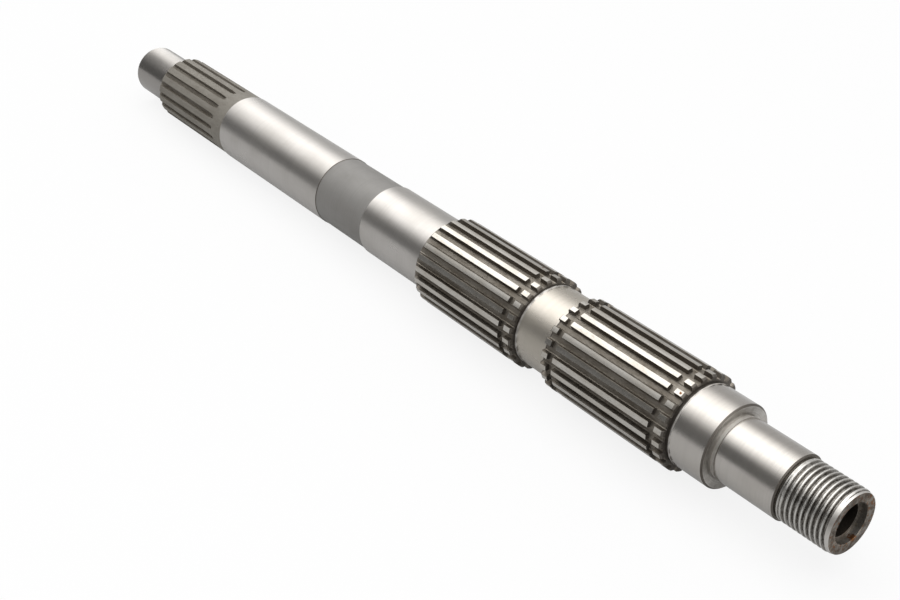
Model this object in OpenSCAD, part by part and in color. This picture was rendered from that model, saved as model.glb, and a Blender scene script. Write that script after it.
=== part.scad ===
// Transmission mainshaft, a single turned, ground and splined steel shaft.
// Millimetres. The axis is X and the threaded end points to +X. Z is up, the shaft lies on its side.
// The origin is on the axis at the middle of the bearing seat.

/* [Threaded end] */
// crest diameter of the nut thread
thread_d = 19; // [18.5:0.1:19.4]
// length of the threaded end
thread_len = 17.5; // [14:0.5:24]
// axial length of the lead bevel on the thread
thread_bevel_len = 1.7; // [0.5:0.1:2.5]
// radial drop of the lead bevel on the thread
thread_bevel_drop = 0.5; // [0.3:0.1:1.2]
// width of the turned run-out neck between thread and bearing seat
thread_neck_w = 0.8; // [0.5:0.1:2]
// diameter of the turned run-out neck
thread_neck_d = 17.6; // [16.5:0.1:18.2]

/* [Bearing seat] */
// diameter of the ground bearing seat
seat_d = 20; // [19.6:0.1:20.4]
// length of the bearing seat, shoulder to thread
seat_len = 21.75; // [18:0.25:26]
// chamfer at the outer end of the bearing seat
seat_chamfer = 0.4; // [0.2:0.1:0.8]
// width of the grinding relief at the shoulder
seat_relief_w = 1.3; // [0.8:0.1:2]
// diameter of the grinding relief at the shoulder
seat_relief_d = 19.5; // [18.8:0.1:19.5]

/* [Gear journal] */
// diameter of the ground journal behind the bearing shoulder
gear_d = 26.2; // [25.6:0.1:26.6]
// length of that journal, shoulder to spline
gear_len = 13.25; // [10:0.25:18]
// chamfer at the bearing shoulder
gear_chamfer = 0.5; // [0.2:0.1:1]
// width of the grinding relief beside the spline
relief_w = 0.8; // [0.5:0.1:1.4]
// radial depth of the grinding relief beside the spline
relief_depth = 0.2; // [0.1:0.1:0.5]

/* [Gear splines] */
// outside diameter of both gear splines
spline_d = 30.5; // [29.8:0.1:31.2]
// diameter at the floor of the spline gaps
spline_root_d = 27.3; // [27:0.1:28]
// number of teeth on each gear spline
spline_teeth = 23; // [20:1:26]
// width of a tooth at its tip
tooth_tip_w = 1.7; // [1.2:0.05:1.9]
// width of a tooth at its root
tooth_root_w = 2; // [1.9:0.05:2.2]
// corner bevel at the foot of each flank
tooth_foot = 0.2; // [0.1:0.05:0.3]
// length of the spline nearest the thread
near_spline_len = 49.55; // [40:0.05:60]
// length of the middle spline
mid_spline_len = 46.9; // [40:0.1:60]
// chamfer on the tooth ends
spline_chamfer = 0.5; // [0.2:0.1:1]
// width of a retaining ring groove
ring_w = 2.4; // [1.4:0.05:2.6]
// diameter at the floor of a retaining ring groove
ring_d = 27.7; // [27.6:0.1:28.6]
// length of the tooth stubs at the spline ends that face the thread
stub_len = 3.15; // [2:0.05:5]
// length of the tooth stubs at the far end of the near spline
far_stub_len = 2.75; // [2:0.05:5]

/* [Neck] */
// diameter of the plain neck between the gear splines
neck_d = 26.7; // [25.8:0.1:26.8]
// length of that neck
neck_len = 13.65; // [9:0.05:20]

/* [Long journals] */
// diameter of the ground journal beside the middle spline
inner_d = 25.4; // [25:0.1:25.8]
// length of that journal
inner_len = 34.2; // [28:0.1:45]
// diameter of the plain turned band
band_d = 24.6; // [24.2:0.1:24.6]
// length of the plain turned band
band_len = 26.7; // [18:0.1:35]
// diameter of the long ground journal
outer_d = 25; // [25:0.1:25.4]
// length of the long ground journal
outer_len = 65; // [50:1:80]
// edge break on the ground journals
edge_break = 0.15; // [0.05:0.05:0.2]

/* [Clutch spline] */
// outside diameter of the clutch spline
clutch_d = 24.6; // [24:0.1:24.8]
// length of the clutch spline section
clutch_len = 49; // [40:1:60]
// number of grooves in the clutch spline
clutch_grooves = 18; // [14:1:20]
// turn of the grooves away from the top of the shaft
clutch_turn = 15.5; // [0:0.5:20]
// depth of a groove
clutch_depth = 1.2; // [0.8:0.05:1.5]
// width of a groove at the surface
clutch_mouth_w = 1.8; // [1.4:0.05:2.2]
// width of a groove at its floor
clutch_floor_w = 1.1; // [0.8:0.05:1.3]
// plain length left between the groove ends and the long journal
clutch_plain = 6.5; // [4:0.5:12]
// radius of the cutter that rounds the groove ends
cutter_r = 9; // [6:0.5:14]
// axial length of the lead bevel on the clutch spline
clutch_bevel_len = 2.2; // [1:0.1:3]
// radial drop of the lead bevel on the clutch spline
clutch_bevel_drop = 1.7; // [1:0.1:2]

/* [Pilot end] */
// diameter of the smooth pilot
pilot_d = 19; // [17:0.1:20]
// length of the smooth pilot
pilot_len = 22; // [16:0.5:30]
// chamfer at the pilot end
pilot_chamfer = 0.8; // [0.3:0.1:1.5]

/* [Push-rod bore] */
// diameter of the bore through the whole shaft
bore_d = 10.5; // [7:0.1:11]
// diameter of the recess at the threaded end
recess_d = 12.4; // [11.5:0.1:13]
// depth of the recess
recess_depth = 2.4; // [1.5:0.1:6]
// edge break at both bore mouths
mouth_break = 0.2; // [0.1:0.1:0.5]

/* [Hidden] */
$fn = 96;
// overlap of a cutter past the surface it opens
over = 1;
// share of the run-out neck that is flat before it slopes up to the thread
neck_flat = 0.3;
// ground length of the bearing seat, then the stations along X
seat_run = seat_len - seat_relief_w - seat_chamfer;
x_shoulder = -seat_run / 2 - seat_relief_w;
x_seat = x_shoulder + seat_len;
x_face = x_seat + thread_len;
x_near = x_shoulder - gear_len;
x_neck = x_near - near_spline_len;
x_mid = x_neck - neck_len;
x_inner = x_mid - mid_spline_len;
x_band = x_inner - inner_len;
x_outer = x_band - band_len;
x_clutch = x_outer - outer_len;
x_pilot = x_clutch - clutch_len;
x_tip = x_pilot - pilot_len;
// radius of the floor of the relief
gear_relief_r = gear_d / 2 - relief_depth;
// angle between teeth and between clutch grooves
tooth_step = 360 / spline_teeth;
groove_step = 360 / clutch_grooves;
// half widths of a spline gap at the tip and root circles
tip_half = spline_d / 2 * sin(tooth_step / 2 - asin(tooth_tip_w / spline_d));
root_half = spline_root_d / 2 * sin(tooth_step / 2 - asin(tooth_root_w / spline_root_d));
gap_slope = (tip_half - root_half) / ((spline_d - spline_root_d) / 2);
gap_top = spline_d / 2 + over;
gap_top_half = tip_half + gap_slope * over;
// clutch groove section
groove_floor_r = clutch_d / 2 - clutch_depth;
groove_slope = (clutch_mouth_w - clutch_floor_w) / 2 / clutch_depth;
// axial reach of the rounded groove end
runout = sqrt(2 * cutter_r * clutch_depth - clutch_depth * clutch_depth);
x_groove_end = x_clutch - clutch_plain - runout;

// colour of machined steel
steel = [0.62, 0.61, 0.59];

// lays a shape that is turned about Z along the X axis
module along_x() {
  rotate([0, 90, 0]) children();
}

// outline of the turned threaded end, the bearing seat and the gear journal
module bearing_end_profile() {
  polygon([
    [0, x_near - over],
    [gear_relief_r, x_near - over],
    [gear_relief_r, x_near + relief_w - relief_depth],
    [gear_d / 2, x_near + relief_w],
    [gear_d / 2, x_shoulder - gear_chamfer],
    [gear_d / 2 - gear_chamfer, x_shoulder],
    [seat_relief_d / 2, x_shoulder],
    [seat_relief_d / 2, x_shoulder + seat_relief_w - (seat_d - seat_relief_d) / 2],
    [seat_d / 2, x_shoulder + seat_relief_w],
    [seat_d / 2, x_seat - seat_chamfer],
    [seat_d / 2 - seat_chamfer, x_seat],
    [thread_neck_d / 2, x_seat],
    [thread_neck_d / 2, x_seat + thread_neck_w * neck_flat],
    [thread_d / 2, x_seat + thread_neck_w],
    [thread_d / 2, x_face - thread_bevel_len],
    [thread_d / 2 - thread_bevel_drop, x_face],
    [0, x_face]
  ]);
}

// outline of one gear spline with chamfered ends, from station x0 up to x1
module spline_profile(x0, x1) {
  polygon([
    [0, x0],
    [spline_d / 2 - spline_chamfer, x0],
    [spline_d / 2, x0 + spline_chamfer],
    [spline_d / 2, x1 - spline_chamfer],
    [spline_d / 2 - spline_chamfer, x1],
    [0, x1]
  ]);
}

// the plain neck, let into the spline at each end
module neck() {
  translate([0, 0, x_mid - over]) cylinder(h = neck_len + 2 * over, r = neck_d / 2);
}

// outline of the long journals, the clutch spline blank and the pilot
module clutch_end_profile() {
  polygon([
    [0, x_inner + over],
    [inner_d / 2, x_inner + over],
    [inner_d / 2, x_band + edge_break],
    [inner_d / 2 - edge_break, x_band],
    [band_d / 2, x_band],
    [band_d / 2, x_outer],
    [outer_d / 2, x_outer - (outer_d - band_d) / 2],
    [outer_d / 2, x_clutch + edge_break],
    [outer_d / 2 - edge_break, x_clutch],
    [clutch_d / 2, x_clutch],
    [clutch_d / 2, x_pilot + clutch_bevel_len],
    [clutch_d / 2 - clutch_bevel_drop, x_pilot],
    [pilot_d / 2, x_pilot],
    [pilot_d / 2, x_tip + pilot_chamfer],
    [pilot_d / 2 - pilot_chamfer, x_tip],
    [0, x_tip]
  ]);
}

// one gap between two spline teeth, as a long prism at the top of the shaft
module spline_gap() {
  gap_len = x_near - x_inner + 2 * over;
  translate([x_inner - over, 0, 0])
    rotate([90, 0, 90])
      linear_extrude(gap_len)
        polygon([
          [-root_half + tooth_foot, spline_root_d / 2],
          [root_half - tooth_foot, spline_root_d / 2],
          [root_half + gap_slope * tooth_foot, spline_root_d / 2 + tooth_foot],
          [gap_top_half, gap_top],
          [-gap_top_half, gap_top],
          [-root_half - gap_slope * tooth_foot, spline_root_d / 2 + tooth_foot]
        ]);
}

// a ring groove whose wall nearest the pilot is at station x0
module ring_groove(x0) {
  along_x()
    translate([0, 0, x0])
      difference() {
        cylinder(h = ring_w, r = spline_d / 2 + over);
        translate([0, 0, -over]) cylinder(h = ring_w + 2 * over, r = ring_d / 2);
      }
}

// one groove of the clutch spline at the top of the shaft, with its rounded end
module clutch_groove() {
  groove_len = x_groove_end - x_pilot + over;
  top = clutch_depth + over;
  floor_half = clutch_floor_w / 2;
  top_half = floor_half + groove_slope * top;
  translate([x_pilot - over, 0, groove_floor_r])
    rotate([90, 0, 90])
      linear_extrude(groove_len)
        polygon([[-floor_half, 0], [floor_half, 0], [top_half, top], [-top_half, top]]);
  translate([x_groove_end, 0, groove_floor_r + cutter_r])
    rotate([90, 0, 0])
      rotate_extrude()
        polygon([
          [cutter_r - top, -top_half],
          [cutter_r, -floor_half],
          [cutter_r, floor_half],
          [cutter_r - top, top_half]
        ]);
}

// bore through the whole shaft with the recess at the threaded end
module push_rod_bore() {
  along_x()
    rotate_extrude()
      polygon([
        [0, x_tip - over],
        [bore_d / 2 + mouth_break + over, x_tip - over],
        [bore_d / 2, x_tip + mouth_break],
        [bore_d / 2, x_face - recess_depth],
        [recess_d / 2, x_face - recess_depth],
        [recess_d / 2, x_face - mouth_break],
        [recess_d / 2 + mouth_break + over, x_face + over],
        [0, x_face + over]
      ]);
}

// solid blank before splines are cut
module blank() {
  along_x() {
    rotate_extrude() bearing_end_profile();
    rotate_extrude() spline_profile(x_neck, x_near);
    neck();
    rotate_extrude() spline_profile(x_inner, x_mid);
    rotate_extrude() clutch_end_profile();
  }
}

// the whole shaft
module mainshaft() {
  color(steel)
    difference() {
      blank();
      for (i = [0 : spline_teeth - 1])
        rotate([(i + 0.5) * tooth_step, 0, 0]) spline_gap();
      ring_groove(x_near - stub_len - ring_w);
      ring_groove(x_neck + far_stub_len);
      ring_groove(x_mid - stub_len - ring_w);
      for (i = [0 : clutch_grooves - 1])
        rotate([i * groove_step - clutch_turn, 0, 0]) clutch_groove();
      push_rod_bore();
    }
}

mainshaft();
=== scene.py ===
"""Fine mesh, steel finishes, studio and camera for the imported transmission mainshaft."""

import math

import bmesh
import bpy
import numpy as np
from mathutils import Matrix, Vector


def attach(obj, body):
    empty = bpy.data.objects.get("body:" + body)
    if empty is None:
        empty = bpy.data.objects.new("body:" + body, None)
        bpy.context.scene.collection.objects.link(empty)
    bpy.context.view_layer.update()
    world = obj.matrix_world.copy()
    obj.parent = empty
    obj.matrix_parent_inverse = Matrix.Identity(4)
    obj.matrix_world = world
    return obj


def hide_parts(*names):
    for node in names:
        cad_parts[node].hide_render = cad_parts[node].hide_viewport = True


MM = 0.001

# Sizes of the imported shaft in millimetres: the axis is X and the threaded end points to +X.
X_FACE = 27.925
X_SEAT = 10.425
X_SHOULDER = -11.325
X_NEAR = -24.575
X_NECK = -74.125
X_MID = -87.775
X_INNER = -134.675
X_BAND = -168.875
X_OUTER = -195.575
X_CLUTCH = -260.575
X_PILOT = -309.575
X_TIP = -331.575

THREAD_R = 9.5
THREAD_BEVEL_LEN = 1.7
THREAD_BEVEL_DROP = 0.5
THREAD_NECK_R = 8.8
THREAD_NECK_W = 0.8
THREAD_NECK_FLAT = 0.24
THREAD_PITCH = 1.637

SEAT_R = 10.0
SEAT_CHAMFER = 0.4
SEAT_RELIEF_R = 9.75
SEAT_RELIEF_W = 1.3
GEAR_R = 13.1
GEAR_CHAMFER = 0.5
RELIEF_W = 0.8
RELIEF_DEPTH = 0.2
NECK_R = 13.35
# pale strips, a painted highlight: on the neck, between these distances from X_MID, and beside the gear
# journal's relief
NECK_HIGHLIGHT = (0.5, 1.2)
GEAR_HIGHLIGHT_W = 0.5

TEETH = 23
SPLINE_R = 15.25
ROOT_R = 13.65
TOOTH_TIP_W = 1.7
TOOTH_ROOT_W = 2.0
TOOTH_FOOT = 0.2
TOOTH_EDGE = 0.07
SPLINE_CHAMFER = 0.5
RING_W = 2.4
RING_R = 13.85
STUB_LEN = 3.15
FAR_STUB_LEN = 2.75
# bevel on the far ends of the middle spline's teeth: where it starts and ends, from X_INNER,
# and the heights over the root at which it has a ring of points
FAR_BEVEL = (-1.65, 0.1)
FAR_BEVEL_RINGS = (0.05, 0.3, 0.8)

INNER_R = 12.7
BAND_R = 12.3
OUTER_R = 12.5
EDGE_BREAK = 0.15

GROOVES = 18
CLUTCH_TURN = 15.5
CLUTCH_R = 12.3
CLUTCH_DEPTH = 1.2
CLUTCH_MOUTH = 0.9
CLUTCH_FLOOR = 0.55
CLUTCH_EDGE = 0.06
CLUTCH_PLAIN = 6.5
CUTTER_R = 9.0
CLUTCH_BEVEL_LEN = 2.2
CLUTCH_BEVEL_DROP = 1.7
# heights over the groove's floor at which the bevel has a ring of points
CLUTCH_BEVEL_RINGS = (0.0, 0.1, 0.4, 0.8)
# shares of a groove's rounded end at which it has a ring of points, and the plain ring past the end
GROOVE_END_SHARES = (0.0, 0.16, 0.32, 0.47, 0.6, 0.71, 0.8, 0.87, 0.925, 0.965, 0.99, 0.9999)
GROOVE_END_MARGIN = 0.6

PILOT_R = 9.5
PILOT_CHAMFER = 0.8
BORE_R = 5.25
RECESS_R = 6.2
RECESS_DEPTH = 2.4
MOUTH_BREAK = 0.2

# Finishes in the order of the mesh's material slots.
FINISHES = [
    "ground",
    "polished",
    "neck",
    "land",
    "flank",
    "gap",
    "wall",
    "shoulder",
    "rim",
    "scale",
    "band",
    "clutch_land",
    "clutch_groove",
    "pilot",
    "thread",
    "lead",
    "end_face",
    "recess",
    "bore",
]


# Cross-sections

# points inside each land, and halvings that find where a groove's side meets a circle
LAND_POINTS = 3
CLUTCH_LAND_POINTS = 9
HALVINGS = 60


def polar(u, v):
    """Angle from the middle of a gap and radius of a point at side u and height v."""
    return math.atan2(u, v), math.hypot(u, v)


def gap_section(tip_r):
    """Half of a gear-spline gap cut off at tip_r, as (angle, radius) from its floor to the land."""
    step = math.pi / TEETH
    tip_half = SPLINE_R * math.sin(step - math.asin(TOOTH_TIP_W / 2 / SPLINE_R))
    root_half = ROOT_R * math.sin(step - math.asin(TOOTH_ROOT_W / 2 / ROOT_R))
    slope = (tip_half - root_half) / (SPLINE_R - ROOT_R)
    floor_half = root_half - TOOTH_FOOT
    foot = (root_half + slope * TOOTH_FOOT, ROOT_R + TOOTH_FOOT)

    def meet(p, d, r):
        """Where the line from p in direction d crosses the circle of radius r."""
        a = d[0] ** 2 + d[1] ** 2
        b = p[0] * d[0] + p[1] * d[1]
        t = (math.sqrt(b * b - a * (p[0] ** 2 + p[1] ** 2 - r * r)) - b) / a
        return (p[0] + t * d[0], p[1] + t * d[1])

    floor_edge = (floor_half, ROOT_R)
    if tip_r < math.hypot(*foot):
        top = meet(floor_edge, (foot[0] - floor_half, TOOTH_FOOT), tip_r)
        low, foot, edge = top, top, 0.0
    else:
        top = meet(foot, (slope, 1.0), tip_r)
        edge = TOOTH_EDGE if tip_r - TOOTH_EDGE > math.hypot(*foot) else 0.0
        low = meet(foot, (slope, 1.0), tip_r - edge)
    points = [(0.0, ROOT_R), (floor_half / 2, ROOT_R), floor_edge, foot, low]
    land = polar(*top)[0] + edge / tip_r
    return [polar(*p) for p in points] + [(land, tip_r)]


def groove_section(tip_r, run):
    """Half of a clutch groove cut off at tip_r, run millimetres into its rounded end."""
    floor_r = CLUTCH_R - CLUTCH_DEPTH
    centre = floor_r + CUTTER_R
    slope = (CLUTCH_MOUTH - CLUTCH_FLOOR) / CLUTCH_DEPTH
    floor = centre - math.sqrt(CUTTER_R**2 - run * run)

    def half_width(v):
        """Half the groove's width at height v."""
        return CLUTCH_FLOOR + slope * (CUTTER_R - math.hypot(run, centre - v))

    def meet(r):
        """Where the groove's side crosses the circle of radius r."""
        lo, hi = floor, r
        for _ in range(HALVINGS):
            v = (lo + hi) / 2
            lo, hi = (v, hi) if math.hypot(half_width(v), v) < r else (lo, v)
        return (half_width(lo), lo)

    edge = 0.0
    if math.hypot(CLUTCH_FLOOR, floor) >= tip_r:
        side = math.sqrt(max(tip_r**2 - floor**2, 0.0))
        floor_edge = low = top = (side, floor)
    else:
        floor_edge = (CLUTCH_FLOOR, floor)
        top = meet(tip_r)
        edge = CLUTCH_EDGE if math.hypot(*floor_edge) < tip_r - CLUTCH_EDGE else 0.0
        low = meet(tip_r - edge)
    points = [(0.0, floor), (floor_edge[0] / 2, floor), floor_edge, low]
    land = polar(*top)[0] + edge / tip_r
    return [polar(*p) for p in points] + [(land, tip_r)]


def whole_section(half, count, inner, turn):
    """All angles and radii round the shaft from half a gap, with inner points on each land."""
    step = 2 * math.pi / count
    start, tip_r = half[-1]
    lands = np.linspace(start, step - start, inner + 2)[1:-1]
    one = list(half) + [(a, tip_r) for a in lands] + [(step - a, r) for a, r in half[:0:-1]]
    angles = np.array([[a + k * step for a, _ in one] for k in range(count)]).ravel()
    radii = np.tile([r for _, r in one], count)
    return angles + turn, radii


def section_kinds(half, land, inner):
    """Finishes round one gap and land, from those of half a gap, with inner points on the land."""
    return half + [land] * (inner + 1) + half[::-1]


GEAR_KINDS = section_kinds(["gap"] * 3 + ["flank"] * 2, "land", LAND_POINTS)
BEVEL_KINDS = section_kinds(["gap"] * 3 + ["scale"] * 2, "scale", LAND_POINTS)
CLUTCH_KINDS = section_kinds(["clutch_groove"] * 4, "clutch_land", CLUTCH_LAND_POINTS)


def gear_section(tip_r):
    """The gear spline's section, or a circle on the same angles where tip_r is under the gaps."""
    turn = math.pi / TEETH
    if tip_r > ROOT_R:
        return whole_section(gap_section(tip_r), TEETH, LAND_POINTS, turn)
    angles, _ = whole_section(gap_section(SPLINE_R), TEETH, LAND_POINTS, turn)
    return angles, np.full(len(angles), tip_r)


def clutch_section(tip_r, run=0.0):
    """The clutch spline's section, or a circle on the same angles where tip_r is under its grooves."""
    if tip_r <= CLUTCH_R - CLUTCH_DEPTH:
        return clutch_circle(tip_r)
    turn = math.radians(CLUTCH_TURN)
    return whole_section(groove_section(tip_r, run), GROOVES, CLUTCH_LAND_POINTS, turn)


def clutch_circle(r):
    """A circle of radius r on the angles of the clutch spline's full section."""
    angles, _ = clutch_section(CLUTCH_R)
    return angles, np.full(len(angles), r)


# Surface made ring by ring


class Surface:
    """Vertices, faces and a finish for each face."""

    def __init__(self):
        self.points = []
        self.faces = []
        self.finish = []

    def ring(self, x, angles, radii):
        """Adds a closed ring of points at station x and returns its (index, angle) arrays."""
        first = len(self.points)
        for a, r in zip(angles, radii):
            self.points.append((x, r * math.sin(a), r * math.cos(a)))
        return np.arange(first, first + len(angles)), np.asarray(angles)

    def skin(self, low, high, kinds):
        """Joins two rings of equal count with quads. kinds is one finish or a repeating list."""
        a, b = low[0], high[0]
        n = len(a)
        for j in range(n):
            k = (j + 1) % n
            self.faces.append((a[j], a[k], b[k], b[j]))
            self.finish.append(kinds if isinstance(kinds, str) else kinds[j % len(kinds)])

    def stitch(self, low, high, kind):
        """Joins two rings of any count with triangles, in order of angle."""
        loops = []
        for index, angle in (low, high):
            angle = np.mod(angle, 2 * math.pi)
            order = np.argsort(angle, kind="stable")
            turns = np.concatenate([angle[order], [angle[order][0] + 2 * math.pi]])
            loops.append((np.concatenate([index[order], index[order][:1]]), turns))
        (a, aa), (b, bb) = loops
        i = j = 0
        while i < len(a) - 1 or j < len(b) - 1:
            step_a = j == len(b) - 1 or (i < len(a) - 1 and aa[i + 1] <= bb[j + 1])
            if step_a:
                self.faces.append((a[i], a[i + 1], b[j]))
                i += 1
            else:
                self.faces.append((a[i], b[j + 1], b[j]))
                j += 1
            self.finish.append(kind)


def run_rings(surface, section, stations, start=None):
    """Skins rings along X. Each station is (x, radius, finish of the strip before it[, run])."""
    last = start
    first = None
    for x, r, kind, *run in stations:
        ring = surface.ring(x, *section(r, *run))
        if last is not None:
            surface.skin(last, ring, kind)
        first = first or ring
        last = ring
    return first, last


def clutch_end(surface):
    """Pilot, clutch spline, long journal and turned band, from the pilot's end towards +X."""
    top = CLUTCH_R - CLUTCH_BEVEL_DROP
    floor_r = CLUTCH_R - CLUTCH_DEPTH
    stations = [
        (X_TIP, BORE_R + MOUTH_BREAK, "end_face"),
        (X_TIP, PILOT_R - PILOT_CHAMFER, "end_face"),
        (X_TIP + PILOT_CHAMFER, PILOT_R, "pilot"),
        (X_PILOT, PILOT_R, "pilot"),
        (X_PILOT, top, "wall"),
    ]
    for r in [floor_r + height for height in CLUTCH_BEVEL_RINGS] + [CLUTCH_R]:
        x = X_PILOT + CLUTCH_BEVEL_LEN * (r - top) / CLUTCH_BEVEL_DROP
        stations.append((x, r, CLUTCH_KINDS if r > floor_r else "clutch_land"))
    reach = math.sqrt(2 * CUTTER_R * CLUTCH_DEPTH - CLUTCH_DEPTH**2)
    x_end = X_CLUTCH - CLUTCH_PLAIN - reach
    for share in GROOVE_END_SHARES:
        stations.append((x_end + share * reach, CLUTCH_R, CLUTCH_KINDS, share * reach))
    first, last = run_rings(surface, clutch_section, stations)
    rounds = [
        (X_CLUTCH - CLUTCH_PLAIN + GROOVE_END_MARGIN, CLUTCH_R, "clutch_land"),
        (X_CLUTCH, CLUTCH_R, "clutch_land"),
        (X_CLUTCH, OUTER_R - EDGE_BREAK, "wall"),
        (X_CLUTCH + EDGE_BREAK, OUTER_R, "ground"),
        (X_OUTER - (OUTER_R - BAND_R), OUTER_R, "ground"),
        (X_OUTER, BAND_R, "scale"),
        (X_BAND, BAND_R, "band"),
    ]
    _, last = run_rings(surface, clutch_circle, rounds, last)
    return first, last


def far_chamfer(x):
    """Stations of a gear spline's plain far end at station x."""
    return [(x, SPLINE_R - SPLINE_CHAMFER, "scale"), (x + SPLINE_CHAMFER, SPLINE_R, "scale")]


def spline_teeth(grooves, x1):
    """Stations of a gear spline up to x1 with ring grooves that start at the given stations."""
    out = []
    for x in grooves:
        out += [
            (x, SPLINE_R, GEAR_KINDS),
            # the ring groove's walls in the dark tone: painted shade
            (x, RING_R, "scale"),
            (x + RING_W, RING_R, "gap"),
            (x + RING_W, SPLINE_R, "scale"),
        ]
    out.append((x1 - SPLINE_CHAMFER, SPLINE_R, GEAR_KINDS))
    out.append((x1, SPLINE_R - SPLINE_CHAMFER, "scale"))
    return out


def far_bevel():
    """Stations of the middle spline's far end, which slopes from the root to the tips of its teeth."""
    start, end = (X_INNER + x for x in FAR_BEVEL)
    out = [(start, INNER_R, "ground"), (start, ROOT_R, "scale")]
    for r in [ROOT_R + height for height in FAR_BEVEL_RINGS] + [SPLINE_R]:
        x = start + (end - start) * (r - ROOT_R) / (SPLINE_R - ROOT_R)
        out.append((x, r, BEVEL_KINDS))
    return out


def bearing_end(surface):
    """Inner journal, gear splines, neck, gear journal and bearing seat, up to the thread's neck."""
    stations = [
        (X_BAND, INNER_R - EDGE_BREAK, "wall"),
        (X_BAND + EDGE_BREAK, INNER_R, "ground"),
        *far_bevel(),
        *spline_teeth([X_MID - STUB_LEN - RING_W], X_MID),
        # the middle spline's end face and a strip of the neck beside it in the dark tone: painted shade
        (X_MID, NECK_R, "scale"),
        (X_MID + NECK_HIGHLIGHT[0], NECK_R, "scale"),
        # the next strip of the neck in the pale tone: a painted highlight
        (X_MID + NECK_HIGHLIGHT[1], NECK_R, "rim"),
        (X_NECK, NECK_R, "neck"),
        *far_chamfer(X_NECK),
        *spline_teeth([X_NECK + FAR_STUB_LEN, X_NEAR - STUB_LEN - RING_W], X_NEAR),
        # the near spline's end face and the relief in the dark tone: painted shade
        (X_NEAR, GEAR_R - RELIEF_DEPTH, "scale"),
        (X_NEAR + RELIEF_W - RELIEF_DEPTH, GEAR_R - RELIEF_DEPTH, "scale"),
        (X_NEAR + RELIEF_W, GEAR_R, "scale"),
        # a strip of the gear journal beside the relief in the pale tone: a painted highlight
        (X_NEAR + RELIEF_W + GEAR_HIGHLIGHT_W, GEAR_R, "rim"),
        (X_SHOULDER - GEAR_CHAMFER, GEAR_R, "polished"),
        (X_SHOULDER, GEAR_R - GEAR_CHAMFER, "scale"),
        (X_SHOULDER, SEAT_RELIEF_R, "shoulder"),
        # the seat relief's floor in the pale tone: a painted highlight
        (X_SHOULDER + SEAT_RELIEF_W - (SEAT_R - SEAT_RELIEF_R), SEAT_RELIEF_R, "rim"),
        (X_SHOULDER + SEAT_RELIEF_W, SEAT_R, "scale"),
        (X_SEAT - SEAT_CHAMFER, SEAT_R, "polished"),
        (X_SEAT, SEAT_R - SEAT_CHAMFER, "scale"),
        (X_SEAT, THREAD_NECK_R, "wall"),
    ]
    return run_rings(surface, gear_section, stations)


# Nut thread

THREAD_COLUMNS = 192
# turns of helix made beyond its ends and cut off again, and tolerances in millimetres
SPARE_TURNS = 3
WELD = 1e-5
CUT_TOLERANCE = 1e-6
STATION_TOLERANCE = 1e-4
# where the neck's slope starts, where the lead bevel starts, and a crest's station straight up
X_THREAD = X_SEAT + THREAD_NECK_FLAT
X_LEAD = X_FACE - THREAD_BEVEL_LEN
X_CREST = 13.6
# stretches in which the groove deepens from the neck and fades out towards the end face, the share
# of its depth at the neck, and the cuts that give the fade its rings of points
RUN_IN = (11.2, 13.1)
RUN_IN_SHARE = 0.12
RUN_OUT = (X_FACE - 1.1, X_FACE - 0.5)
RUN_OUT_CUTS = 6
# faces this close to the envelope count as the lead bevel's own
LEAD_SKIN = 0.03
# share of a pitch from the middle of a crest, and depth under the crest
THREAD_FORM = [
    (-0.065, 0.0),
    (0.065, 0.0),
    (0.11, 0.03),
    (0.15, 0.11),
    (0.355, 0.765),
    (0.39, 0.8),
    (0.61, 0.8),
    (0.645, 0.765),
    (0.85, 0.11),
    (0.89, 0.03),
]


def thread_envelope(x):
    """Largest radius of the thread at station x: its neck's slope, its crest and its lead bevel."""
    steep = (THREAD_R - THREAD_NECK_R) / (THREAD_NECK_W - THREAD_NECK_FLAT)
    rise = THREAD_NECK_R + steep * (x - X_THREAD)
    bevel = THREAD_R - THREAD_BEVEL_DROP * (x - X_LEAD) / THREAD_BEVEL_LEN
    return min(THREAD_R, rise, bevel)


def smooth(x, span):
    """Share from 0 to 1 of the way through a span, with soft ends."""
    t = min(max((x - span[0]) / (span[1] - span[0]), 0.0), 1.0)
    return t * t * (3 - 2 * t)


def cut_across(bm, x, drop=0):
    """Cuts a bmesh at station x and drops what lies beyond, towards +X or -X if drop is 1 or -1."""
    bmesh.ops.bisect_plane(
        bm,
        geom=bm.verts[:] + bm.edges[:] + bm.faces[:],
        dist=CUT_TOLERANCE,
        plane_co=(x, 0, 0),
        plane_no=(drop or 1, 0, 0),
        clear_outer=drop != 0,
    )


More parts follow.
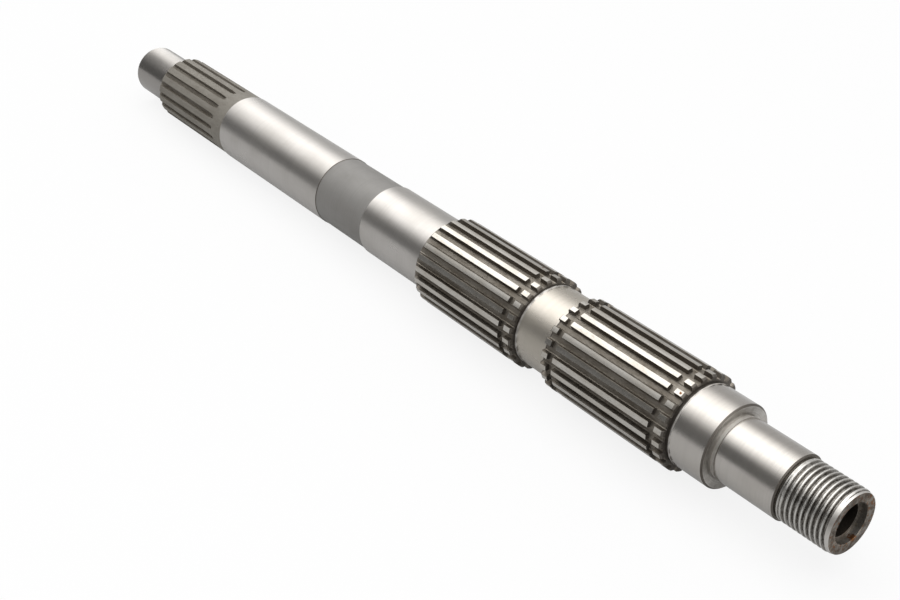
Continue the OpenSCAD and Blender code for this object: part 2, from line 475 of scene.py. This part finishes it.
def thread_mesh():
    """A right-hand helical thread that fades into its lead bevel, as a bmesh in millimetres."""
    x0 = X_CREST - SPARE_TURNS * THREAD_PITCH
    turns = int((X_FACE - x0) / THREAD_PITCH) + SPARE_TURNS
    bm = bmesh.new()
    rows = []
    for turn in range(turns):
        for share, depth in THREAD_FORM:
            row = []
            for j in range(THREAD_COLUMNS + 1):
                a = 2 * math.pi * j / THREAD_COLUMNS
                x = x0 + THREAD_PITCH * (turn + share - j / THREAD_COLUMNS)
                r = THREAD_R - depth
                row.append(bm.verts.new((x, r * math.sin(a), r * math.cos(a))))
            rows.append(row)
    for low, high in zip(rows, rows[1:]):
        for j in range(THREAD_COLUMNS):
            bm.faces.new((low[j], high[j], high[j + 1], low[j + 1]))
    bmesh.ops.remove_doubles(bm, verts=bm.verts, dist=WELD)
    x_crest = X_SEAT + THREAD_NECK_W
    for x in [(X_THREAD + x_crest) / 2, x_crest, X_LEAD, *np.linspace(*RUN_OUT, RUN_OUT_CUTS)]:
        cut_across(bm, x)
    cut_across(bm, X_THREAD, drop=-1)
    cut_across(bm, X_FACE, drop=1)
    for v in bm.verts:
        r = math.hypot(v.co.y, v.co.z)
        limit = thread_envelope(v.co.x)
        deep = RUN_IN_SHARE + (1 - RUN_IN_SHARE) * smooth(v.co.x, RUN_IN)
        cut = deep * (1 - smooth(v.co.x, RUN_OUT))
        grow = (limit - cut * max(limit - r, 0.0)) / r
        v.co.y *= grow
        v.co.z *= grow
    return bm


def add_thread(surface, neck):
    """Adds the thread to the surface, joins it to the neck's ring and returns its outer end ring."""
    bm = thread_mesh()
    bm.verts.ensure_lookup_table()
    bm.verts.index_update()
    first = len(surface.points)
    ends = {X_FACE: [], X_THREAD: []}
    for v in bm.verts:
        surface.points.append(tuple(v.co))
        for x, found in ends.items():
            if abs(v.co.x - x) < STATION_TOLERANCE:
                found.append(first + v.index)
    for f in bm.faces:
        surface.faces.append(tuple(first + v.index for v in f.verts))
        middle = f.calc_center_median()
        on_top = math.hypot(middle.y, middle.z) > thread_envelope(middle.x) - LEAD_SKIN
        surface.finish.append("lead" if on_top and middle.x > X_LEAD else "thread")
    bm.free()
    rings = []
    for found in ends.values():
        angles = [math.atan2(surface.points[i][1], surface.points[i][2]) for i in found]
        rings.append((np.array(found), np.array(angles)))
    outer, inner = rings
    surface.stitch(neck, inner, "wall")
    return outer


# Whole shaft

# points this close, in metres, are one point, and edges sharper than this angle stay sharp
MESH_WELD = 2e-7
SHARP_ANGLE = 28


def shaft_mesh():
    """The whole closed shaft as a Blender mesh in metres."""
    surface = Surface()
    mouth, band = clutch_end(surface)
    journal, neck = bearing_end(surface)
    surface.stitch(band, journal, "wall")
    outer = add_thread(surface, neck)
    stations = [
        (X_FACE, RECESS_R + MOUTH_BREAK, "end_face"),
        (X_FACE - MOUTH_BREAK, RECESS_R, "end_face"),
        (X_FACE - RECESS_DEPTH, RECESS_R, "recess"),
        (X_FACE - RECESS_DEPTH, BORE_R, "recess"),
        (X_TIP + MOUTH_BREAK, BORE_R, "bore"),
    ]
    recess, inner = run_rings(surface, clutch_circle, stations)
    surface.stitch(outer, recess, "end_face")
    surface.skin(inner, mouth, "bore")

    mesh = bpy.data.meshes.new("mainshaft_steel")
    mesh.from_pydata([Vector(p) * MM for p in surface.points], [], surface.faces)
    mesh.polygons.foreach_set("material_index", [FINISHES.index(k) for k in surface.finish])
    bm = bmesh.new()
    bm.from_mesh(mesh)
    bmesh.ops.remove_doubles(bm, verts=bm.verts, dist=MESH_WELD)
    bmesh.ops.dissolve_degenerate(bm, edges=bm.edges, dist=MESH_WELD)
    bmesh.ops.recalc_face_normals(bm, faces=bm.faces)
    bm.to_mesh(mesh)
    bm.free()
    mesh.shade_smooth()
    mesh.set_sharp_from_angle(angle=math.radians(SHARP_ANGLE))
    return mesh


# Materials

RUST = (0.155, 0.068, 0.026)
# places and radii of rust on the teeth and on the wall of the recess, in millimetres
TOOTH_RUST = [(-96.0, 4.7, 14.5), (-25.8, -7.9, 13.1)]
TOOTH_RUST_R = 0.55
RECESS_RUST = (27.3, 2.1, -5.9)
RECESS_RUST_R = 1.3
# how far the edge of such a spot wanders, as a share of its radius
RAGGED = 1.2
# noise levels between which patches of rust begin, before a face's share of rust lowers them
RUST_LEVELS = (0.74, 0.8)
# roughness of a finish's rough patches against its smooth ones
TURNED_PATCH = 1.35
MILLED_PATCH = 1.4
# height of the lines on turned faces and on the thread, in millimetres
FACE_LINES = 0.006
THREAD_LINES = 0.005
# colours of the thread, its crests painted pale as a highlight, and depths under its crest between which
# that painted highlight fades in
THREAD_DARK = (0.12, 0.11, 0.098)
THREAD_PALE = (0.34, 0.327, 0.306)
THREAD_OIL = (0.28, 0.25, 0.215)
CREST_HIGHLIGHT_TONE = (0.59, 0.578, 0.55)
CREST_HIGHLIGHT_DEPTHS = (0.25, 0.04)
# sockets of a colour mix node: its two colours and its result
MIX_COLOURS = (6, 7)
MIX_RESULT = 2


def darker(colour, share):
    """The given share of a colour."""
    return tuple(share * c for c in colour)


class Nodes:
    """Small helper that adds and links shader nodes."""

    def __init__(self, name):
        self.material = bpy.data.materials.new(name)
        self.material.use_nodes = True
        self.tree = self.material.node_tree
        self.shader = self.tree.nodes["Principled BSDF"]
        self.place = self.add("ShaderNodeTexCoord").outputs["Object"]

    def add(self, kind, **settings):
        """A new node with the given settings."""
        node = self.tree.nodes.new(kind)
        for key, value in settings.items():
            setattr(node, key, value)
        return node

    def link(self, value, socket):
        """Links another node's output to a socket, or sets a constant on it."""
        if isinstance(value, bpy.types.NodeSocket):
            self.tree.links.new(value, socket)
        else:
            socket.default_value = value

    def math(self, operation, a, b=0.0, c=0.0):
        """Result of a math node, whose values are outputs or constants."""
        node = self.add("ShaderNodeMath", operation=operation)
        for value, socket in zip((a, b, c), node.inputs):
            self.link(value, socket)
        return node.outputs[0]

    def noise(self, stretch, detail=3.0, rough=0.55):
        """Noise whose frequency along X, Y and Z is in cycles per millimetre."""
        scaled = self.add("ShaderNodeVectorMath", operation="MULTIPLY")
        self.link(self.place, scaled.inputs[0])
        scaled.inputs[1].default_value = [s / MM for s in stretch]
        node = self.add("ShaderNodeTexNoise")
        self.link(scaled.outputs[0], node.inputs["Vector"])
        node.inputs["Scale"].default_value = 1.0
        node.inputs["Detail"].default_value = detail
        node.inputs["Roughness"].default_value = rough
        return node.outputs["Fac"]

    def ramp(self, value, low, high, out_low=0.0, out_high=1.0):
        """Soft step from out_low to out_high while value goes from low to high."""
        node = self.add("ShaderNodeMapRange", interpolation_type="SMOOTHSTEP")
        self.link(value, node.inputs["Value"])
        node.inputs["From Min"].default_value = low
        node.inputs["From Max"].default_value = high
        node.inputs["To Min"].default_value = out_low
        node.inputs["To Max"].default_value = out_high
        return node.outputs[0]

    def mix(self, share, a, b):
        """Colour a with the given share of colour b."""
        node = self.add("ShaderNodeMix", data_type="RGBA")
        self.link(share, node.inputs[0])
        for colour, socket in zip((a, b), MIX_COLOURS):
            value = (*colour, 1.0) if isinstance(colour, tuple) else colour
            self.link(value, node.inputs[socket])
        return node.outputs[MIX_RESULT]

    def radius(self):
        """Distance from the shaft's axis in millimetres."""
        parts = self.add("ShaderNodeSeparateXYZ")
        self.link(self.place, parts.inputs[0])
        squares = self.math(
            "ADD",
            self.math("MULTIPLY", parts.outputs["Y"], parts.outputs["Y"]),
            self.math("MULTIPLY", parts.outputs["Z"], parts.outputs["Z"]),
        )
        return self.math("MULTIPLY", self.math("SQRT", squares), 1 / MM)

    def bump(self, height, distance):
        """Bump of the given height in millimetres."""
        node = self.add("ShaderNodeBump")
        node.inputs["Strength"].default_value = 1.0
        node.inputs["Distance"].default_value = distance * MM
        self.link(height, node.inputs["Height"])
        return node.outputs["Normal"]

    def lay(self, share):
        """Lines round the axis that blur reflections along it more than round it."""
        if share > 0:
            round_axis = self.add("ShaderNodeTangent", direction_type="RADIAL", axis="X")
            self.link(round_axis.outputs[0], self.shader.inputs["Tangent"])
            self.shader.inputs["Anisotropic"].default_value = share

    def spot(self, place, size):
        """Ragged mask of the given radius round a place, in millimetres."""
        away = self.add("ShaderNodeVectorMath", operation="DISTANCE")
        self.link(self.place, away.inputs[0])
        away.inputs[1].default_value = [c * MM for c in place]
        wander = self.noise((1.7, 1.7, 1.7), detail=4.0, rough=0.7)
        ragged = self.math("MULTIPLY_ADD", wander, 2 * RAGGED * size, -RAGGED * size)
        far = self.math("MULTIPLY_ADD", away.outputs["Value"], 1 / MM, ragged)
        return self.ramp(far, size / 2, size, out_low=1.0, out_high=0.0)

    def finish(self, colour, rough, height, distance, metallic=1.0):
        """Links colour, roughness and a bump to the shader and returns the material."""
        self.link(colour, self.shader.inputs["Base Color"])
        self.link(rough, self.shader.inputs["Roughness"])
        self.link(self.bump(height, distance), self.shader.inputs["Normal"])
        self.shader.inputs["Metallic"].default_value = metallic
        return self.material


def turned_steel(name, tone, stain, rough, line_height, lay=0.0, metallic=1.0):
    """Steel with fine lines round the axis and a cloudy tone."""
    n = Nodes(name)
    n.lay(lay)
    cloud = n.noise((0.05, 0.09, 0.09), detail=4.0)
    streak = n.noise((2.2, 0.05, 0.05), detail=2.0)
    lines = n.noise((7.0, 0.1, 0.1), rough=0.7)
    colour = n.mix(n.ramp(cloud, 0.35, 0.75), tone, stain)
    colour = n.mix(n.ramp(streak, 0.3, 0.8, out_high=0.22), colour, darker(tone, 0.7))
    patchy = n.ramp(cloud, 0.3, 0.8, rough, rough * TURNED_PATCH)
    return n.finish(colour, patchy, lines, line_height, metallic)


def faced_steel(name, tone, stain, rough, rust=0.0, lay=0.0):
    """A turned face: rings round the axis, oil stain and a little rust."""
    n = Nodes(name)
    n.lay(lay)
    rings = n.add("ShaderNodeTexNoise", noise_dimensions="1D")
    n.link(n.radius(), rings.inputs["W"])
    rings.inputs["Scale"].default_value = 3.2
    rings.inputs["Detail"].default_value = 3.0
    ring = rings.outputs["Fac"]
    cloud = n.noise((0.5, 0.5, 0.5), detail=5.0, rough=0.7)
    colour = n.mix(n.ramp(cloud, 0.4, 0.62), tone, stain)
    colour = n.mix(n.ramp(ring, 0.45, 0.75, out_high=0.55), colour, darker(tone, 0.5))
    if rust > 0:
        patch = n.noise((0.9, 0.9, 0.9), detail=5.0, rough=0.7)
        colour = n.mix(n.ramp(patch, *(level - rust for level in RUST_LEVELS)), colour, RUST)
        colour = n.mix(n.spot(RECESS_RUST, RECESS_RUST_R), colour, RUST)
    patchy = n.ramp(cloud, 0.3, 0.8, rough, rough * TURNED_PATCH)
    return n.finish(colour, patchy, ring, FACE_LINES)


def milled_steel(name, tone, stain, rough, line_height, metallic=1.0, spots=()):
    """Unground steel: cutter lines along the shaft, oil tint, dark flecks and rust at the spots."""
    n = Nodes(name)
    cloud = n.noise((0.12, 0.35, 0.35), detail=5.0, rough=0.6)
    fleck = n.noise((0.8, 2.5, 2.5), detail=4.0, rough=0.65)
    lines = n.noise((0.5, 6.0, 6.0), detail=4.0, rough=0.65)
    colour = n.mix(n.ramp(cloud, 0.35, 0.7), tone, stain)
    colour = n.mix(n.ramp(fleck, 0.5, 0.8, out_high=0.5), colour, darker(stain, 0.45))
    for place in spots:
        colour = n.mix(n.spot(place, TOOTH_RUST_R), colour, RUST)
    patchy = n.ramp(fleck, 0.3, 0.8, rough, rough * MILLED_PATCH)
    return n.finish(colour, patchy, lines, line_height, metallic)


def thread_steel(name):
    """Cut thread: crests painted pale as a highlight, streaked flanks with old oil, and specks of rust.
    """
    n = Nodes(name)
    crest = n.ramp(n.radius(), *(THREAD_R - depth for depth in CREST_HIGHLIGHT_DEPTHS))
    cloud = n.noise((0.25, 0.3, 0.3), detail=4.0)
    streak = n.noise((3.0, 0.7, 0.7), detail=4.0, rough=0.7)
    speck = n.noise((0.8, 0.8, 0.8), detail=5.0, rough=0.72)
    lines = n.noise((5.0, 0.4, 0.4), rough=0.65)
    colour = n.mix(n.ramp(streak, 0.35, 0.7), THREAD_DARK, THREAD_PALE)
    # pale colour on the crests: a painted highlight along them
    colour = n.mix(crest, colour, CREST_HIGHLIGHT_TONE)
    colour = n.mix(n.ramp(cloud, 0.5, 0.8, out_high=0.4), colour, THREAD_OIL)
    colour = n.mix(n.ramp(speck, 0.66, 0.71), colour, RUST)
    patchy = n.ramp(speck, 0.4, 0.72, out_low=0.24, out_high=0.6)
    return n.finish(colour, patchy, lines, THREAD_LINES)


def shaft_materials():
    """One material for each name in FINISHES, in that order.

    Each call gives a tone, the tone of its stains, a roughness and, unless the finish has its own, the
    height of its lines in millimetres.
    """
    return [
        turned_steel("ground", (0.52, 0.5, 0.477), (0.47, 0.45, 0.423), 0.27, 0.0012),
        turned_steel("polished", (0.508, 0.485, 0.455), (0.47, 0.444, 0.412), 0.15, 0.001, lay=0.8),
        turned_steel("neck", (0.51, 0.475, 0.423), (0.45, 0.418, 0.362), 0.24, 0.0025, lay=0.8),
        milled_steel("land", (0.55, 0.53, 0.493), (0.464, 0.435, 0.389), 0.2, 0.001, spots=TOOTH_RUST),
        # the flanks' dark tone is painted shade between the teeth
        milled_steel("flank", (0.2, 0.181, 0.157), (0.13, 0.113, 0.093), 0.36, 0.003),
        # the gap floors' dark tone is painted shade between the teeth
        milled_steel("gap", (0.26, 0.238, 0.206), (0.175, 0.153, 0.125), 0.48, 0.004),
        turned_steel("wall", (0.27, 0.253, 0.226), (0.19, 0.17, 0.143), 0.4, 0.003),
        faced_steel("shoulder", (0.52, 0.503, 0.478), (0.42, 0.399, 0.37), 0.36, lay=0.9),
        # paler steel on narrow strips: a painted highlight
        turned_steel("rim", (0.62, 0.6, 0.57), (0.55, 0.525, 0.49), 0.46, 0.002),
        # dark tone on chamfers, groove walls, reliefs and tooth ends: painted shade along these edges
        turned_steel("scale", (0.15, 0.137, 0.121), (0.107, 0.094, 0.081), 0.45, 0.003),
        turned_steel("band", (0.24, 0.233, 0.222), (0.216, 0.208, 0.196), 0.55, 0.003, metallic=0.5),
        milled_steel("clutch_land", (0.2, 0.186, 0.16), (0.165, 0.15, 0.126), 0.55, 0.003, metallic=0.3),
        milled_steel("clutch_groove", (0.14, 0.124, 0.1), (0.1, 0.086, 0.067), 0.55, 0.004, metallic=0.3),
        turned_steel("pilot", (0.34, 0.324, 0.306), (0.305, 0.29, 0.272), 0.22, 0.0012),
        thread_steel("thread"),
        # the lead bevel's pale tone is partly cleaner steel and partly a painted highlight
        turned_steel("lead", (0.66, 0.645, 0.62), (0.57, 0.545, 0.51), 0.33, 0.002),
        faced_steel("end_face", (0.25, 0.226, 0.197), (0.108, 0.088, 0.069), 0.42, rust=0.2, lay=0.8),
        faced_steel("recess", (0.34, 0.318, 0.291), (0.216, 0.194, 0.166), 0.42, rust=0.12),
        # the bore's near-black tone is painted shade inside the hole
        turned_steel("bore", (0.075, 0.067, 0.058), (0.04, 0.032, 0.024), 0.5, 0.003),
    ]


# Studio, in metres, with radiance against white

# light of the world where it is neither seen nor mirrored, and the paper's reflectance
WORLD_LIGHT = 0.6
PAPER = 0.85
# the paper's middle along X and its half width
FLOOR_MIDDLE = -0.15
FLOOR_REACH = 9.0


def background_share(tree, seen=1.0, mirrored=1.0):
    """The given shares on camera rays and on glossy and transmission rays, 0 on the rest."""
    path = tree.nodes.new("ShaderNodeLightPath")
    total = None
    for name, share in (("Camera", seen), ("Glossy", mirrored), ("Transmission", mirrored)):
        node = tree.nodes.new("ShaderNodeMath")
        node.operation = "MULTIPLY_ADD"
        tree.links.new(path.outputs[f"Is {name} Ray"], node.inputs[0])
        node.inputs[1].default_value = share
        node.inputs[2].default_value = 0.0
        if total is not None:
            tree.links.new(total, node.inputs[2])
        total = node.outputs[0]
    return total


def white_world():
    """White where it is seen or mirrored, softer as light."""
    world = bpy.data.worlds.new("studio")
    world.use_nodes = True
    bpy.context.scene.world = world
    tree = world.node_tree
    back = tree.nodes["Background"]
    back.inputs["Color"].default_value = (1, 1, 1, 1)
    lift = tree.nodes.new("ShaderNodeMapRange")
    tree.links.new(background_share(tree), lift.inputs["Value"])
    lift.inputs["To Min"].default_value = WORLD_LIGHT
    lift.inputs["To Max"].default_value = 1.0
    tree.links.new(lift.outputs[0], back.inputs["Strength"])


def floor_material():
    """Matt white paper that glows where it is seen or mirrored, so that only a faint shadow is left."""
    material = bpy.data.materials.new("floor_paper")
    material.use_nodes = True
    tree = material.node_tree
    tree.nodes.remove(tree.nodes["Principled BSDF"])
    out = tree.nodes["Material Output"]
    paper = tree.nodes.new("ShaderNodeBsdfDiffuse")
    paper.inputs["Color"].default_value = (PAPER, PAPER, PAPER, 1)
    glow = tree.nodes.new("ShaderNodeEmission")
    tree.links.new(background_share(tree, seen=1.0, mirrored=0.4), glow.inputs["Strength"])
    mix = tree.nodes.new("ShaderNodeMixShader")
    tree.links.new(background_share(tree, seen=0.85, mirrored=0.5), mix.inputs[0])
    tree.links.new(paper.outputs[0], mix.inputs[1])
    tree.links.new(glow.outputs[0], mix.inputs[2])
    tree.links.new(mix.outputs[0], out.inputs["Surface"])
    return material


def stage_piece(name, points, faces, material):
    """A piece of the studio, which is no part of the object."""
    mesh = bpy.data.meshes.new(name)
    mesh.from_pydata(points, [], faces)
    mesh.materials.append(material)
    piece = bpy.data.objects.new(name, mesh)
    bpy.context.scene.collection.objects.link(piece)
    return piece


def floor():
    """The paper that carries the middle spline's far teeth and the clutch spline's far end."""
    half_gap = math.pi / TEETH - math.asin(TOOTH_TIP_W / 2 / SPLINE_R)
    near = (X_INNER + SPLINE_CHAMFER, -SPLINE_R * math.cos(half_gap))
    far = (X_PILOT + CLUTCH_BEVEL_LEN, -CLUTCH_R)
    slope = (near[1] - far[1]) / (near[0] - far[0])

    def height(x):
        """The paper's height at station x."""
        return near[1] * MM + slope * (x - near[0] * MM)

    lo, hi = FLOOR_MIDDLE - FLOOR_REACH, FLOOR_MIDDLE + FLOOR_REACH
    corners = [
        (lo, -FLOOR_REACH, height(lo)),
        (hi, -FLOOR_REACH, height(hi)),
        (hi, FLOOR_REACH, height(hi)),
        (lo, FLOOR_REACH, height(lo)),
    ]
    stage_piece("floor", corners, [(0, 1, 2, 3)], floor_material())


def mirrored_only(piece):
    """Keeps a stage piece to reflections, so that it neither shows nor lights the floor."""
    piece.visible_camera = False
    piece.visible_diffuse = False
    piece.visible_shadow = False


# Light tent: a half tube that comes down TENT_SIDE degrees on both sides, an apron on the camera's side
# that ends APRON_EDGE from the shaft at height TENT_FOOT, and a flat curtain at the threaded end.
TENT_R = 1.0
TENT_X = (-3.4, 0.5)
TENT_FOOT = -0.013
TENT_SIDE = 91.0
TENT_STEPS = 48
APRON_EDGE = 0.21
CURTAIN_REACH = 1.05
# colour and radiances, and the degrees round the shaft from straight up between which they change
TENT_COLOUR = (1.0, 0.995, 0.988, 1)
TENT_DARK = 0.18
TENT_TOP = 2.45
TENT_BACK = 0.61
TENT_RISE = (-62.0, -8.0)
TENT_FALL = (8.0, 58.0)
# stations between which the strip overhead comes to lean away from the camera by this angle
LEAN_X = (-1.52, -1.64)
LEAN = 52.0


def tent_material():
    """Dark on the camera's side, a soft bright strip overhead and pale cloth behind."""
    material = bpy.data.materials.new("tent_cloth")
    material.use_nodes = True
    tree = material.node_tree
    tree.nodes.remove(tree.nodes["Principled BSDF"])
    glow = tree.nodes.new("ShaderNodeEmission")
    glow.inputs["Color"].default_value = TENT_COLOUR
    tree.links.new(glow.outputs[0], tree.nodes["Material Output"].inputs["Surface"])
    place = tree.nodes.new("ShaderNodeTexCoord")
    parts = tree.nodes.new("ShaderNodeSeparateXYZ")
    tree.links.new(place.outputs["Object"], parts.inputs[0])

    def join(operation, a, b):
        """Result of a math node on two outputs."""
        node = tree.nodes.new("ShaderNodeMath")
        node.operation = operation
        tree.links.new(a, node.inputs[0])
        tree.links.new(b, node.inputs[1])
        return node.outputs[0]

    def soft_step(value, span, low, high):
        """Soft step from low to high while value goes through a span."""
        node = tree.nodes.new("ShaderNodeMapRange")
        node.interpolation_type = "SMOOTHSTEP"
        tree.links.new(value, node.inputs["Value"])
        for name, setting in zip(("From Min", "From Max", "To Min", "To Max"), (*span, low, high)):
            node.inputs[name].default_value = setting
        return node.outputs[0]

    lean = soft_step(parts.outputs["X"], LEAN_X, 0.0, -math.radians(LEAN))
    angle = join("ADD", join("ARCTAN2", parts.outputs["Y"], parts.outputs["Z"]), lean)
    rise, fall = ([math.radians(a) for a in span] for span in (TENT_RISE, TENT_FALL))
    strip = soft_step(angle, rise, TENT_DARK, TENT_TOP)
    cloth = soft_step(angle, fall, 0.0, TENT_BACK - TENT_TOP)
    tree.links.new(join("ADD", strip, cloth), glow.inputs["Strength"])
    return material


def tent():
    """Half tube over the shaft, closed at the threaded end, with a dark apron on the camera's side."""
    material = tent_material()
    arc = np.radians(np.linspace(-TENT_SIDE, TENT_SIDE, TENT_STEPS + 1))
    line = [(-APRON_EDGE, TENT_FOOT)] + [(TENT_R * math.sin(a), TENT_R * math.cos(a)) for a in arc]
    points = [(x, y, z) for x in TENT_X for y, z in line]
    n = len(line)
    faces = [(k, k + 1, n + k + 1, n + k) for k in range(n - 1)]
    mirrored_only(stage_piece("tent", points, faces, material))
    corners = [
        (TENT_X[1], -CURTAIN_REACH, TENT_FOOT),
        (TENT_X[1], CURTAIN_REACH, TENT_FOOT),
        (TENT_X[1], CURTAIN_REACH, CURTAIN_REACH),
        (TENT_X[1], -CURTAIN_REACH, CURTAIN_REACH),
    ]
    mirrored_only(stage_piece("curtain", corners, [(0, 1, 2, 3)], material))


def softbox(name, place, aim, size, radiance):
    """A rectangular lamp whose face has the given radiance."""
    data = bpy.data.lights.new(name, "AREA")
    data.shape = "RECTANGLE"
    data.size, data.size_y = size
    data.energy = radiance * math.pi * size[0] * size[1]
    lamp = bpy.data.objects.new(name, data)
    lamp.location = place
    lamp.rotation_euler = (Vector(aim) - Vector(place)).to_track_quat("-Z", "Y").to_euler()
    lamp.visible_camera = False
    lamp.visible_glossy = False
    bpy.context.scene.collection.objects.link(lamp)


# Camera, solved from the shaft's outline and edges in the photograph, in millimetres, metres and degrees
SENSOR_W = 36.0
LENS = 58.863
CLIP_START = 0.01
CAMERA_PLACE = (0.187476, -0.258083, 0.240356)
CAMERA_TURN = (58.30296, -0.88937, 51.90714)


def camera():
    """The photograph's view."""
    data = bpy.data.cameras.new("camera")
    data.sensor_fit = "HORIZONTAL"
    data.sensor_width = SENSOR_W
    data.lens = LENS
    data.clip_start = CLIP_START
    eye = bpy.data.objects.new("camera", data)
    eye.location = CAMERA_PLACE
    eye.rotation_euler = [math.radians(a) for a in CAMERA_TURN]
    bpy.context.scene.collection.objects.link(eye)
    bpy.context.scene.camera = eye


def studio():
    """Floor, lamp, tent and world."""
    bpy.context.scene.view_settings.view_transform = "Standard"
    white_world()
    floor()
    tent()
    softbox("key", place=(-0.15, -0.15, 1.2), aim=(-0.15, 0.0, 0.0), size=(2.4, 1.8), radiance=1.15)


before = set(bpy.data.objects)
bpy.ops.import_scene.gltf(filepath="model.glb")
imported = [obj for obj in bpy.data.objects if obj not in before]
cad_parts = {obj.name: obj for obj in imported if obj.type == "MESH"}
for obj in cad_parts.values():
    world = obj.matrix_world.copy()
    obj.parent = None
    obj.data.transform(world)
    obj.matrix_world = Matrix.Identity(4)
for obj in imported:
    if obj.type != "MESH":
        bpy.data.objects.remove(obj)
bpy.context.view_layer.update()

shaft = bpy.data.objects.new("mainshaft_steel", shaft_mesh())
for finish in shaft_materials():
    shaft.data.materials.append(finish)
bpy.context.scene.collection.objects.link(shaft)
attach(shaft, "root")
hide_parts("mainshaft")

camera()
studio()
